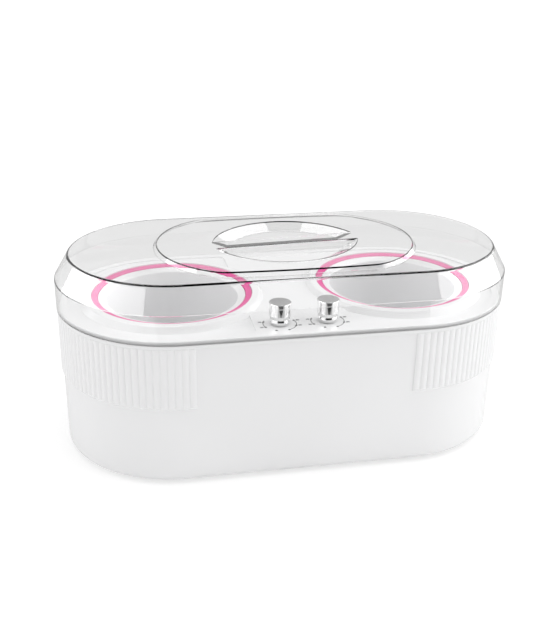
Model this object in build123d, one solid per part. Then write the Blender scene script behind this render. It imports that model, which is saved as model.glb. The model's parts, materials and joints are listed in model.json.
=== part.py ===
from build123d import *
import os
from math import atan, cos, degrees, pi, radians, sin, sqrt, tan

# Double wax warmer: two heated pots side by side in one housing, under one clear lift-off lid.
# Millimetres. The origin is on the table under the middle of the base, +X runs along the length,
# the knobs face -Y and +Z is up. A stadium is two half circles joined by straight sides.
# The plan grows outwards from the pot's radius, and the heights upwards from the table.

# Gaps
FACE_GAP = 0.3           # between pieces that don't bear on each other
SEAT_GAP = 0.2           # round a piece that drops into its seat
PILOT_GAP = 0.05         # round a thread
SCREW_CLEARANCE = 0.5    # round a screw's shank
LID_GAP = 0.4            # between the lid and the deck's lip
POT_GAP = 1.4            # round the pot in its chamber

# Wax pots
POT_R = 54.0             # outside of the pot at its mouth
POT_DRAFT = 1.0          # the base is this much smaller in radius
POT_WALL = 1.2
POT_FLARE = 5.1          # how far the rim reaches out
POT_RIM_H = 3.8          # height of the flare
POT_DEPTH = 75.2         # outside height
POT_CORNER_R = 6.0
POT_NECK_ROUND = 1.0
POT_LIP_ROUND = 0.3
FLARE_T = 1.38           # height of the flare's sheet, measured upright

# Coloured ring round each pot
RING_W = 5.0
RING_SINK = 0.8          # outer edge below the collar's top
RING_FALL = 1.1          # how far its top slopes down to the pot
RING_SEAT_DEPTH = 4.5    # below the collar's top
RING_FILLET = 0.4
POT_SINK = 0.2           # pot rim below the ring's inner edge

# Deck
COLLAR_TOP_W = 5.7       # flat top of the raised collar round each ring
COLLAR_SPREAD = 4.2      # its sloping side
COLLAR_RISE = 3.55       # above the plateau
COLLAR_FILLET = 1.8
COLLAR_WALL = 2.2
COLLARS_APART = 37.0
TRAY_W = 9.0             # shallow wax tray between collar and rim
TRAY_DEPTH = 1.1
TRAY_CORNER_R = 6.0
TRAY_RIM_W = 6.3
PANEL_HALF = 38.5        # the knob panel between the trays stays at full height
LIP_H = 3.25             # plateau above the flange that carries the lid
LIP_ROUND = 0.8
RIM_T = 3.2              # flange thickness
RIM_STEP = 1.4           # how far the flange overhangs the housing wall
RIM_ROUND = 0.5          # its outer edges
DECK_SKIRT_T = 2.2
DECK_SKIRT_DROP = 4.0    # locating skirt inside the housing wall

# Housing shell
FOOT_Z = 3.0             # rubber feet lift the housing this far
SHELL_H = 113.3
SHELL_LEAN = 0.7         # the wall is this much smaller in radius at the base
SHELL_WALL = 2.5
BASE_FILLET = 5.0
BASE_RIM = 4.2           # shell's bottom edge round the recessed base plate
BASE_PLATE_T = 3.0
SHELL_LIP_T = 2.5        # inward lip that the base plate is screwed against
SHELL_LIP_W = 19.4

# Ribbed grip at each end
GRIP_REACH = 8.0         # how far it runs on past the round end
GRIP_H = 50.3
RIB_PITCH = 5.35
RIB_DEPTH = 0.8
RIB_SHY = 0.1            # crests inside the flange's edge
RIB_END_SLOPE = 50.0     # degrees, lower ends of the ribs

# Housing pillars and screws
PILLAR_R = 4.5
SIDE_PILLAR_X = 48.0
SIDE_PILLAR_IN = 9.4     # from the housing's outside
END_PILLAR_ANGLE = 45.0
SCREW_R = 1.5
SCREW_HEAD_R = 3.4
SCREW_HEAD_T = 2.0
SCREW_BITE = 16.0        # thread length inside a pillar
PILOT_SPARE = 2.0        # pilot hole past the screw's end
HEAD_SINK = 1.4
HEAD_ROUND = 0.4         # share of a screw head's thickness

# Feet and vents
FOOT_R = 7.0
FOOT_OUT = 17.0          # beyond the pot's centre
FOOT_IN = 30.2           # inside the base plate's edge
FOOT_RECESS = 1.0
FOOT_GAP = 0.1
FOOT_CHAMFER = 0.5
VENT_L = 36.0
VENT_W = 3.2
VENT_PITCH = 8.0
VENT_COUNT = 7
VENT_X = 46.5            # middle of each group

# Lid
LID_WALL = 1.8
LID_OVERHANG = 0.5       # lid beyond the deck flange
LID_SKIRT_H = 23.7
LID_SHOULDER_H = 19.3
LID_SHOULDER_IN = 11.2
LID_CREST_ROUND = 0.6
LID_TOP_ROUND = 3.2
LID_FOOT_ROUND = 0.5     # outer edge of the lid's foot, over the seam
OVAL_STEP = 2.8          # raised oval in the middle of the lid
OVAL_SLOPE = 2.4         # its edge is this much wider at the foot
OVAL_END_IN = 69.3       # from the lid top's edge to the oval, at each end
OVAL_SIDE_IN = 13.0      # and at each side
OVAL_END_RISE = 42.5     # how far an end bulges beyond its corners
OVAL_SIDE_RISE = 2.0
OVAL_CORNER_R = 30.0
OVAL_ROUND = 0.8         # upper edges of the oval and of the wells
HANDLE_ANGLE = 4.2       # the grip is turned a little on the lid
WELL_HALF = 58.9         # half length of a finger well
WELL_LAND = 17.2         # between the wells' curved edge and the oval's side
BAR_HALF = 8.7           # half width of the grip bar between the wells
WELL_DEPTH = 5.0
WELL_SLOPE = 11.5        # how far the curved wall leans in
BAR_SLOPE = 0.5          # how far the bar's side leans in

# Heating chamber, its heater and its insulation
CHAMBER_WALL = 1.0
CHAMBER_FLOOR_T = 1.5
CHAMBER_CORNER_R = 3.0
CHAMBER_MOUTH_R = 0.8
FLANGE_T = 1.2
FLANGE_SCREW_OUT = 4.4   # from the ring's seat to the circle of the chamber screws
FLANGE_EDGE = 4.2
FLANGE_BOSS_R = 3.2
FLANGE_BEND_R = 0.5
SMALL_SCREW_R = 1.2
SMALL_HEAD_R = 2.6
SMALL_HEAD_T = 1.6
SMALL_BITE = 3.4
SMALL_SPARE = 0.4        # screw's end short of its pilot hole's
HEATER_T = 3.0
HEATER_LIFT = 11.0       # above the pot's floor
HEATER_TOP_GAP = 16.0    # from the heater's top to the sleeve's
HEATER_SPLIT = 6.0
EAR_T = 2.0
EAR_REACH = 8.0
CLAMP_SCREW_R = 1.5
CLAMP_HEAD_R = 2.8
CLAMP_HEAD_T = 2.0
CLAMP_NUT_T = 2.4
CLAMP_OUT = 4.5          # from the heater's outside
SLEEVE_T = 5.5
SLEEVE_LIFT = 3.0
SLEEVE_TOP_GAP = 6.3     # below the chamber's flange
SLEEVE_SLOT = 24.0

# Thermal fuse under each chamber
FUSE_R = 2.0
FUSE_L = 22.0
FUSE_ROUND = 0.6
FUSE_LEAD_R = 0.6
FUSE_LEAD_L = 11.0       # beyond each end
CLIP_T = 0.8
CLIP_W = 10.0
CLIP_FOOT = 7.0

# Knobs and thermostats
KNOB_X = 18.7
KNOB_IN = 14.0           # from the tray's outer edge
KNOB_LIFT = 0.4          # gap between the knob and the panel
KNOB_H = 17.3
KNOB_R = 8.45
KNOB_GRIP_H = 7.4        # where the straight grip starts
KNOB_GRIP_ROUND = 2.4
KNOB_WAIST_R = 7.5
KNOB_WAIST_H = 5.0
KNOB_WAIST_ROUND = 1.6
KNOB_BULB_R = 7.9
KNOB_BULB_H = 2.6
KNOB_BULB_ROUND = 2.0
KNOB_FOOT_R = 6.6
KNOB_FOOT_ROUND = 1.0
KNOB_EDGE_R = 0.5
POINTER_R = 0.8          # dimple in the knob's top that shows its setting
POINTER_DEPTH = 0.4
POINTER_IN = 2.2         # from the knob's edge
SHAFT_R = 3.0
SHAFT_HOLE_R = 3.6
SHAFT_RUNNING_GAP = 0.05
SHAFT_DROP = 8.0         # shaft below the bracket
SHAFT_IN_KNOB = 11.0
BUSH_R = 5.0
BUSH_REACH = 2.5         # above the bracket
STAT_W = 26.0
STAT_D = 24.0
STAT_H = 20.0
STAT_EDGE_R = 1.5
BRACKET_DROP = 7.5       # below the deck
BRACKET_T = 1.5
BRACKET_END = 5.0        # beyond its outer screws
BRACKET_W = 14.0
BRACKET_CORNER_R = 3.0
BRACKET_SCREW_X = 37.0   # outer screws; a third is in the middle
STAT_BOSS_R = 3.2
BUSH_NUT_R = 7.5
BUSH_NUT_T = 2.2
BULB_R = 2.0             # sensing bulb in its pocket on the chamber
BULB_L = 18.0
BULB_ROUND = 0.8
BULB_LIFT = 3.0          # above the heater
BULB_POCKET_WALL = 1.0
BULB_SHOWS = 2.0         # at each end of the pocket
CAPILLARY_R = 0.8
CAPILLARY_X = 24.0
CAPILLARY_DROP = 2.0     # tube below the bulb
CAPILLARY_IN_BULB = 1.0
CAPILLARY_BEND = 1.5

# Mains entry and terminals
GLAND_Z = 30.0
GLAND_BORE_R = 3.6
GLAND_NECK_R = 6.2
GLAND_FLANGE_R = 9.0
GLAND_FLANGE_T = 1.8
GLAND_ROUND = 0.6
GLAND_GAP = 0.15
BLOCK_L = 44.0
BLOCK_W = 16.0
BLOCK_H = 12.0
BLOCK_Y = 40.0
BLOCK_POLES = 5
BLOCK_TOWER_L = 6.0
BLOCK_TOWER_W = 9.6
BLOCK_TOWER_H = 4.0
BLOCK_SCREW_R = 1.8
BLOCK_SCREW_SINK = 1.0
LEAD_R = 1.1
LEAD_GAP = 0.2           # round a lead in its terminal
LEAD_IN_BLOCK = 4.0
LEAD_FRONT_BEND = 6.0
LEAD_BEND = 4.0
LEAD_LOW_Z = 20.0
LEAD_SIDE_Y = 8.0        # where the leads meet the heater band
LEAD_OUTER_OUT = 35.0    # beyond the pot's centre
LEAD_OUTER_Y = 25.0
STAT_TERMINAL_X = 6.0

# Radii and places that follow
POT_RIM_R = POT_R + POT_FLARE
CHAMBER_BORE_R = POT_R + POT_GAP
CHAMBER_R = CHAMBER_BORE_R + CHAMBER_WALL
POT_HOLE_R = CHAMBER_R + POT_GAP
HEATER_R = CHAMBER_R + HEATER_T
SLEEVE_R = HEATER_R + SLEEVE_T
RING_BORE_R = POT_RIM_R + FACE_GAP
RING_R = RING_BORE_R + RING_W
RING_SEAT_R = RING_R + SEAT_GAP
COLLAR_TOP_R = RING_SEAT_R + COLLAR_TOP_W
COLLAR_R = COLLAR_TOP_R + COLLAR_SPREAD
TRAY_R = COLLAR_R + TRAY_W
LIP_R = TRAY_R + TRAY_RIM_W
LID_BORE_R = LIP_R + LID_GAP
LID_R = LID_BORE_R + LID_WALL
LID_TOP_R = LID_R - LID_SHOULDER_IN
RIM_R = LID_R - LID_OVERHANG
RIB_CREST_R = RIM_R - RIB_SHY
RIB_GROOVE_R = RIB_CREST_R - RIB_DEPTH
SHELL_TOP_R = RIM_R - RIM_STEP
SHELL_BASE_R = SHELL_TOP_R - SHELL_LEAN
SHELL_LIP_R = SHELL_BASE_R - SHELL_LIP_W
PLATE_HOLE_R = SHELL_BASE_R - BASE_RIM
POT_X = COLLAR_R + COLLARS_APART / 2
FLANGE_SCREW_R = RING_SEAT_R + FLANGE_SCREW_OUT
FLANGE_R = FLANGE_SCREW_R + FLANGE_EDGE
END_PILLAR_R = FLANGE_R + FACE_GAP + PILLAR_R
SIDE_PILLAR_Y = SHELL_BASE_R - SIDE_PILLAR_IN
FOOT_X = POT_X + FOOT_OUT
FOOT_Y = PLATE_HOLE_R - FOOT_IN
KNOB_Y = KNOB_IN - TRAY_R
BULB_X = POT_X - CHAMBER_R - BULB_R
BULB_POCKET_R = BULB_R + BULB_POCKET_WALL
OVAL_HALF_L = POT_X + LID_TOP_R - OVAL_END_IN
OVAL_HALF_W = LID_TOP_R - OVAL_SIDE_IN
WELL_REACH = OVAL_HALF_W - WELL_LAND
LEAD_OUTER_X = POT_X + LEAD_OUTER_OUT
BRACKET_L = 2 * (BRACKET_SCREW_X + BRACKET_END)
POINTER_BALL_R = (POINTER_R ** 2 + POINTER_DEPTH ** 2) / (2 * POINTER_DEPTH)

# Heights that follow
SHELL_BASE_Z = FOOT_Z
SHELL_TOP_Z = SHELL_BASE_Z + SHELL_H
SHELL_DRAFT = SHELL_LEAN / SHELL_H
PLATE_TOP_Z = SHELL_BASE_Z + BASE_PLATE_T
LIP_TOP_Z = PLATE_TOP_Z + SHELL_LIP_T
GRIP_LOW_Z = SHELL_TOP_Z - GRIP_H
SEAM_Z = SHELL_TOP_Z + RIM_T
DECK_Z = SEAM_Z + LIP_H
TRAY_Z = DECK_Z - TRAY_DEPTH
COLLAR_Z = DECK_Z + COLLAR_RISE
RING_SEAT_Z = COLLAR_Z - RING_SEAT_DEPTH
RING_OUTER_Z = COLLAR_Z - RING_SINK
RING_INNER_Z = RING_OUTER_Z - RING_FALL
POT_RIM_Z = RING_INNER_Z - POT_SINK
POT_NECK_Z = POT_RIM_Z - POT_RIM_H
POT_FLOOR_Z = POT_RIM_Z - POT_DEPTH
CHAMBER_TOP_Z = SEAM_Z
CHAMBER_BASE_Z = POT_FLOOR_Z - CHAMBER_FLOOR_T
HEATER_LOW_Z = POT_FLOOR_Z + HEATER_LIFT
SLEEVE_LOW_Z = POT_FLOOR_Z + SLEEVE_LIFT
SLEEVE_HIGH_Z = CHAMBER_TOP_Z - FLANGE_T - SLEEVE_TOP_GAP
HEATER_HIGH_Z = SLEEVE_HIGH_Z - HEATER_TOP_GAP
BULB_LOW_Z = HEATER_HIGH_Z + BULB_LIFT
FUSE_Z = CHAMBER_BASE_Z - FUSE_R
KNOB_Z = DECK_Z + KNOB_LIFT
BRACKET_Z = SEAM_Z - BRACKET_DROP
BUSH_TOP_Z = BRACKET_Z + BRACKET_T + BUSH_REACH
SHAFT_ROOT_Z = BRACKET_Z - SHAFT_DROP
STAT_Z = BRACKET_Z - STAT_H
LID_CREST_Z = SEAM_Z + LID_SKIRT_H
LID_TOP_Z = LID_CREST_Z + LID_SHOULDER_H
LID_OVAL_Z = LID_TOP_Z + OVAL_STEP
WELL_FLOOR_Z = LID_OVAL_Z - WELL_DEPTH


def wall_r(z):
    """Outside radius of the drafted housing wall at a height."""
    return SHELL_BASE_R + SHELL_DRAFT * (z - SHELL_BASE_Z)


def prism(radius, low, high):
    """Upright stadium prism."""
    return extrude(Pos(0, 0, low) * SlotCenterToCenter(2 * POT_X, 2 * radius), high - low)


def drafted(low_radius, high_radius, low, high):
    """Stadium prism whose wall leans in or out evenly."""
    taper = degrees(atan((low_radius - high_radius) / (high - low)))
    base = Pos(0, 0, low) * SlotCenterToCenter(2 * POT_X, 2 * low_radius)
    return extrude(base, high - low, taper=taper)


def post(radius, low, high, x=0.0, y=0.0):
    """Upright cylinder at a place in plan."""
    return Pos(x, y, low) * Cylinder(radius, high - low, align=(Align.CENTER, Align.CENTER, Align.MIN))


def rod(radius, points, bend):
    """Round wire or tube through points, with bends at the corners."""
    path = FilletPolyline(*points, radius=bend)
    return sweep(Plane(origin=path @ 0, z_dir=path % 0) * Circle(radius), path=path)


def block(x_size, y_size, low, high, x=0.0, y=0.0):
    """Upright block centred at a place in plan."""
    return Pos(x, y, low) * Box(x_size, y_size, high - low, align=(Align.CENTER, Align.CENTER, Align.MIN))


def turned(corners):
    """Solid of revolution about Z from (radius, height, corner rounding) corners."""
    points = [(radius, height) for radius, height, rounding in corners]
    roundings = [rounding for radius, height, rounding in corners]
    outline = Plane.XZ * FilletPolyline(*points, radius=roundings, close=True)
    return revolve(make_face(outline), Axis.Z)


def tube_ring(bore, radius, low, high):
    """Plain upright ring."""
    return post(radius, low, high) - post(bore, low, high)


def both_ends(shape):
    """The shape as modelled at +X, and its mirror image at -X."""
    return {"right": shape, "left": mirror(shape, Plane.YZ)}


def grow(shape, others):
    """One solid from a shape and what is joined to it."""
    for other in others:
        shape = shape + other
    return shape


def cut(shape, others):
    """A shape with others taken away."""
    for other in others:
        shape = shape - other
    return shape


def pillar_places():
    """Plan places of the eight pillars that hold deck, shell and base plate together."""
    end_x = POT_X + END_PILLAR_R * cos(radians(END_PILLAR_ANGLE))
    end_y = END_PILLAR_R * sin(radians(END_PILLAR_ANGLE))
    quarter = [(SIDE_PILLAR_X, SIDE_PILLAR_Y), (end_x, end_y)]
    return [(sx * x, sy * y) for x, y in quarter for sx in (-1, 1) for sy in (-1, 1)]


def foot_places():
    """Names and plan places of the four feet."""
    sides = [("left", -1), ("right", 1)]
    rows = [("front", -1), ("rear", 1)]
    return {f"{row}_{side}": (sx * FOOT_X, sy * FOOT_Y) for side, sx in sides for row, sy in rows}


def flange_screw_places():
    """Places of one chamber's four screws, from the chamber's centre."""
    return [(FLANGE_SCREW_R * cos(k * pi / 2), FLANGE_SCREW_R * sin(k * pi / 2)) for k in range(4)]


def bracket_screw_places():
    """Places of the three screws that hold the thermostat bracket."""
    return [(x, KNOB_Y) for x in (-BRACKET_SCREW_X, 0, BRACKET_SCREW_X)]


def pan_screw(x, y, seat, length, shank_r, head_r, head_t):
    """Screw driven upwards: its head hangs below the seat height."""
    head = post(head_r, seat - head_t, seat, x, y)
    head = fillet(head.edges().group_by(Axis.Z)[0], head_t * HEAD_ROUND)
    return head + post(shank_r, seat, seat + length, x, y)


# Housing shell

def grip_band():
    """Ribbed band that wraps the +X end, with sloping lower rib ends."""
    arc = pi * RIB_GROOVE_R
    total = arc + 2 * GRIP_REACH
    count = round(total / RIB_PITCH)

    def place(run, radius):
        if run < GRIP_REACH:
            return (POT_X - GRIP_REACH + run, -radius)
        if run > GRIP_REACH + arc:
            return (POT_X - (run - GRIP_REACH - arc), radius)
        angle = (run - GRIP_REACH) / RIB_GROOVE_R - pi / 2
        return (POT_X + radius * cos(angle), radius * sin(angle))

    def rib(k):
        runs = [total * (k + part) / count for part in (0, 0.5, 1)]
        radii = [RIB_GROOVE_R, RIB_CREST_R, RIB_GROOVE_R]
        return ThreePointArc(*[place(run, radius) for run, radius in zip(runs, radii)])

    ribs = [rib(k) for k in range(count)]
    closing = Line(ribs[-1] @ 1, ribs[0] @ 0)
    band = extrude(Pos(0, 0, GRIP_LOW_Z) * make_face(ribs + [closing]), SHELL_TOP_Z - GRIP_LOW_Z)
    inner_r = wall_r(GRIP_LOW_Z)
    rise = (RIM_R - inner_r) * tan(radians(RIB_END_SLOPE))
    lower = drafted(inner_r, RIM_R, GRIP_LOW_Z, GRIP_LOW_Z + rise)
    upper = prism(RIM_R, GRIP_LOW_Z + rise, SHELL_TOP_Z)
    return band & (lower + upper)


def body_shell():
    """Drafted housing wall with ribbed grips, a rounded base edge and an inward base lip."""
    shell = drafted(SHELL_BASE_R, SHELL_TOP_R, SHELL_BASE_Z, SHELL_TOP_Z)
    shell = fillet(shell.faces().sort_by(Axis.Z)[0].edges(), BASE_FILLET)
    grips = both_ends(grip_band())
    shell = grow(shell, grips.values())
    shell -= drafted(wall_r(LIP_TOP_Z) - SHELL_WALL, SHELL_TOP_R - SHELL_WALL, LIP_TOP_Z, SHELL_TOP_Z)
    shell -= prism(SHELL_LIP_R, PLATE_TOP_Z, LIP_TOP_Z)
    shell -= prism(PLATE_HOLE_R, SHELL_BASE_Z, PLATE_TOP_Z)
    hole_r = SCREW_R + SCREW_CLEARANCE
    shell = cut(shell, [post(hole_r, PLATE_TOP_Z, LIP_TOP_Z, x, y) for x, y in pillar_places()])
    hole_y = wall_r(GLAND_Z) - SHELL_WALL / 2
    return shell - Pos(0, hole_y, GLAND_Z) * Rot(90, 0, 0) * Cylinder(GLAND_NECK_R + GLAND_GAP, 3 * SHELL_WALL)


def base_plate():
    """Flat cover under the housing, with foot recesses, sunk screw holes and vents."""
    plate = prism(PLATE_HOLE_R - FACE_GAP, SHELL_BASE_Z, PLATE_TOP_Z)
    sunk_z = SHELL_BASE_Z + HEAD_SINK
    holes = []
    for x, y in pillar_places():
        holes.append(post(SCREW_R + SCREW_CLEARANCE, SHELL_BASE_Z, PLATE_TOP_Z, x, y))
        holes.append(post(SCREW_HEAD_R + SCREW_CLEARANCE, SHELL_BASE_Z, sunk_z, x, y))
    for x, y in foot_places().values():
        holes.append(post(FOOT_R + FOOT_GAP, SHELL_BASE_Z, SHELL_BASE_Z + FOOT_RECESS, x, y))
    slot = extrude(SlotOverall(VENT_L, VENT_W, rotation=90), BASE_PLATE_T)
    for k in range(VENT_COUNT):
        offset = (k - (VENT_COUNT - 1) / 2) * VENT_PITCH
        for side in (-1, 1):
            holes.append(Pos(side * VENT_X + offset, 0, SHELL_BASE_Z) * slot)
    return cut(plate, holes)


def foot(x, y):
    """Round rubber foot, seated in its recess."""
    pad = post(FOOT_R, 0, FOOT_Z + FOOT_RECESS, x, y)
    return chamfer(pad.edges().group_by(Axis.Z)[0], FOOT_CHAMFER)


def housing_screws():
    """Eight screws up through base plate and shell into the deck's pillars."""
    seat = SHELL_BASE_Z + HEAD_SINK
    length = LIP_TOP_Z + SCREW_BITE - seat
    return [pan_screw(x, y, seat, length, SCREW_R, SCREW_HEAD_R, SCREW_HEAD_T) for x, y in pillar_places()]


# Deck

def deck_collar():
    """Raised ring round a pot, hollow underneath but for its screw bosses."""
    ring = turned([
        (POT_HOLE_R, SEAM_Z, 0),
        (COLLAR_R, SEAM_Z, 0),
        (COLLAR_R, TRAY_Z, 0),
        (COLLAR_TOP_R, COLLAR_Z, COLLAR_FILLET),
        (RING_SEAT_R, COLLAR_Z, RING_FILLET),
        (RING_SEAT_R, RING_SEAT_Z, 0),
        (POT_HOLE_R, RING_SEAT_Z, 0),
    ])
    hollow = tube_ring(RING_SEAT_R + COLLAR_WALL, COLLAR_TOP_R + 1, SEAM_Z, COLLAR_Z - COLLAR_WALL)
    hollow = cut(hollow, [post(FLANGE_BOSS_R, SEAM_Z, COLLAR_Z, x, y) for x, y in flange_screw_places()])
    pilot_r = SMALL_SCREW_R + PILOT_GAP
    pilots = [post(pilot_r, SEAM_Z, SEAM_Z + SMALL_BITE, x, y) for x, y in flange_screw_places()]
    return cut(ring, [hollow] + pilots)


def wax_tray():
    """Shallow recess in the +X end of the deck, with rounded corners beside the knob panel."""
    recess = prism(TRAY_R, TRAY_Z, DECK_Z) - block(
        2 * (POT_X + LID_R), 2 * LID_R, TRAY_Z, DECK_Z, PANEL_HALF - POT_X - LID_R, 0)
    corners = recess.edges().filter_by(Axis.Z).group_by(Axis.X)[0]
    return fillet(corners, TRAY_CORNER_R)


def top_deck():
    """White deck: flange, plateau, trays, pot collars, knob panel and the pillars below."""
    skirt_r = SHELL_TOP_R - SHELL_WALL - SEAT_GAP
    skirt_low = SHELL_TOP_Z - DECK_SKIRT_DROP
    flange = prism(RIM_R, SHELL_TOP_Z, SEAM_Z)
    deck = fillet(flange.edges(), RIM_ROUND) + prism(LIP_R, SEAM_Z, DECK_Z)
    deck = fillet(deck.faces().sort_by(Axis.Z)[-1].outer_wire().edges(), LIP_ROUND)
    deck += prism(skirt_r, skirt_low, SHELL_TOP_Z)
    deck -= prism(skirt_r - DECK_SKIRT_T, skirt_low, SEAM_Z)
    deck = cut(deck, both_ends(wax_tray()).values())
    around_pot = Pos(POT_X, 0, 0)
    deck = cut(deck, both_ends(around_pot * post(COLLAR_R - 1, SEAM_Z, COLLAR_Z)).values())
    deck = grow(deck, both_ends(around_pot * deck_collar()).values())
    pillars = [post(PILLAR_R, LIP_TOP_Z, SEAM_Z, x, y) for x, y in pillar_places()]
    bosses = [post(STAT_BOSS_R, BRACKET_Z + BRACKET_T, SEAM_Z, x, y) for x, y in bracket_screw_places()]
    deck = grow(deck, pillars + bosses)
    pilots = [post(SCREW_R + PILOT_GAP, LIP_TOP_Z, LIP_TOP_Z + SCREW_BITE + PILOT_SPARE, x, y)
              for x, y in pillar_places()]
    pilots += [post(SMALL_SCREW_R + PILOT_GAP, BRACKET_Z + BRACKET_T, BRACKET_Z + BRACKET_T + SMALL_BITE, x, y)
               for x, y in bracket_screw_places()]
    shafts = [post(SHAFT_HOLE_R, SEAM_Z, DECK_Z, side * KNOB_X, KNOB_Y) for side in (-1, 1)]
    return cut(deck, pilots + shafts)


def pot_ring():
    """Coloured ring in the collar, its top sloping down towards the pot."""
    ring = turned([
        (RING_BORE_R, RING_SEAT_Z, 0),
        (RING_R, RING_SEAT_Z, 0),
        (RING_R, RING_OUTER_Z, RING_FILLET),
        (RING_BORE_R, RING_INNER_Z, RING_FILLET),
    ])
    return Pos(POT_X, 0, 0) * ring


# Lid

def oval_outline(grow_by, z):
    """Oval with bowed sides, full ends and rounded corners."""
    half_l = OVAL_HALF_L + grow_by
    half_w = OVAL_HALF_W + grow_by
    corner_x = half_l - OVAL_END_RISE
    corner_y = half_w - OVAL_SIDE_RISE
    front = ThreePointArc((-corner_x, -corner_y), (0, -half_w), (corner_x, -corner_y))
    right = ThreePointArc((corner_x, -corner_y), (half_l, 0), (corner_x, corner_y))
    rear = ThreePointArc((corner_x, corner_y), (0, half_w), (-corner_x, corner_y))
    left = ThreePointArc((-corner_x, corner_y), (-half_l, 0), (-corner_x, -corner_y))
    face = make_face([front, right, rear, left])
    return Pos(0, 0, z) * fillet(face.vertices(), OVAL_CORNER_R + grow_by)


def oval(grow_by, low, high):
    """Block on the oval, wider at its foot."""
    return loft([oval_outline(grow_by + OVAL_SLOPE, low), oval_outline(grow_by, high)], ruled=True)


def well_outline(inset, bar_inset, z):
    """D shape of a finger well behind the grip bar, drawn in by an inset at its arc and at the bar."""
    arc_r = (WELL_HALF ** 2 + (WELL_REACH - BAR_HALF) ** 2) / (2 * (WELL_REACH - BAR_HALF))
    centre_y = WELL_REACH - arc_r
    radius = arc_r - inset
    near_y = BAR_HALF + bar_inset
    half = sqrt(radius ** 2 - (near_y - centre_y) ** 2)
    arc = ThreePointArc((-half, near_y), (0, centre_y + radius), (half, near_y))
    return Pos(0, 0, z) * make_face([arc, Line(arc @ 1, arc @ 0)])


def well(wall, low, high):
    """Sloping-sided finger well between two heights, larger all round by a wall."""
    arc_wall = wall * sqrt(1 + (WELL_SLOPE / WELL_DEPTH) ** 2)
    faces = []
    for z in (high, low):
        share = (LID_OVAL_Z - z) / WELL_DEPTH
        faces.append(well_outline(share * WELL_SLOPE - arc_wall, share * BAR_SLOPE - wall, z))
    return loft(faces, ruled=True)


def clear_lid():
    """Clear lid: upright skirt, sloping shoulder, flat top, raised oval and two finger wells."""
    lean = atan(LID_SHOULDER_IN / LID_SHOULDER_H)
    inner_crest_z = LID_CREST_Z - LID_WALL * tan(lean / 2)
    inner_top_z = LID_TOP_Z - LID_WALL
    inner_top_r = LID_TOP_R - LID_WALL * tan((pi / 2 - lean) / 2)
    oval_lean = atan(OVAL_SLOPE / OVAL_STEP)
    oval_inset = LID_WALL * tan((pi / 2 - oval_lean) / 2)
    lid = prism(LID_R, SEAM_Z, LID_CREST_Z) + drafted(LID_R, LID_TOP_R, LID_CREST_Z, LID_TOP_Z)
    crest = lid.edges().filter_by(lambda edge: abs(edge.center().Z - LID_CREST_Z) < 0.01)
    lid = fillet(crest, LID_CREST_ROUND)
    shoulder = lid.edges().filter_by(lambda edge: abs(edge.center().Z - LID_TOP_Z) < 0.01)
    lid = fillet(shoulder, LID_TOP_ROUND)
    lid = fillet(lid.faces().sort_by(Axis.Z)[0].edges(), LID_FOOT_ROUND)
    lid += oval(0, LID_TOP_Z, LID_OVAL_Z)
    lid -= prism(LID_BORE_R, SEAM_Z, inner_crest_z)
    lid -= drafted(LID_BORE_R, inner_top_r, inner_crest_z, inner_top_z)
    lid -= oval(-oval_inset, inner_top_z, LID_OVAL_Z - LID_WALL)
    turns = [Rot(0, 0, HANDLE_ANGLE), Rot(0, 0, HANDLE_ANGLE + 180)]
    lid = grow(lid, [turn * well(LID_WALL, WELL_FLOOR_Z - LID_WALL, LID_OVAL_Z - LID_WALL / 2) for turn in turns])
    lid = cut(lid, [turn * well(0, WELL_FLOOR_Z, LID_OVAL_Z) for turn in turns])
    on_oval = lid.edges().filter_by(lambda edge: min(v.Z for v in edge.vertices()) > LID_OVAL_Z - 0.01)
    return fillet(on_oval, OVAL_ROUND)


# Pots and heating

def wax_pot():
    """Removable aluminium pot with a flared rim."""
    base_r = POT_R - POT_DRAFT
    pot = turned([
        (0, POT_FLOOR_Z, 0),
        (base_r, POT_FLOOR_Z, POT_CORNER_R),
        (POT_R, POT_NECK_Z, POT_NECK_ROUND),
        (POT_RIM_R, POT_RIM_Z - FLARE_T, POT_LIP_ROUND),
        (POT_RIM_R, POT_RIM_Z, POT_LIP_ROUND),
        (POT_R - POT_WALL, POT_NECK_Z + FLARE_T, POT_NECK_ROUND),
        (base_r - POT_WALL, POT_FLOOR_Z + POT_WALL, POT_CORNER_R - POT_WALL),
        (0, POT_FLOOR_Z + POT_WALL, 0),
    ])
    return Pos(POT_X, 0, 0) * pot


def heating_chamber():
    """Fixed aluminium cup that the pot stands in, hung from the deck by its flange."""
    cup = turned([
        (0, CHAMBER_BASE_Z, 0),
        (CHAMBER_R, CHAMBER_BASE_Z, CHAMBER_CORNER_R),
        (CHAMBER_R, CHAMBER_TOP_Z - FLANGE_T, FLANGE_BEND_R),
        (FLANGE_R, CHAMBER_TOP_Z - FLANGE_T, 0),
        (FLANGE_R, CHAMBER_TOP_Z, 0),
        (CHAMBER_BORE_R, CHAMBER_TOP_Z, CHAMBER_MOUTH_R),
        (CHAMBER_BORE_R, POT_FLOOR_Z, CHAMBER_CORNER_R - CHAMBER_WALL),
        (0, POT_FLOOR_Z, 0),
    ])
    pocket_x = -(CHAMBER_R + BULB_R)
    pocket = tube_ring(BULB_R, BULB_POCKET_R, BULB_LOW_Z + BULB_SHOWS, BULB_LOW_Z + BULB_L - BULB_SHOWS)
    cup += Pos(pocket_x, 0, 0) * pocket - post(CHAMBER_R - CHAMBER_WALL / 2, CHAMBER_BASE_Z, CHAMBER_TOP_Z)
    hole_r = SMALL_SCREW_R + SCREW_CLEARANCE / 2
    holes = [post(hole_r, CHAMBER_TOP_Z - FLANGE_T, CHAMBER_TOP_Z, x, y) for x, y in flange_screw_places()]
    return Pos(POT_X, 0, 0) * cut(cup, holes)


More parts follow.
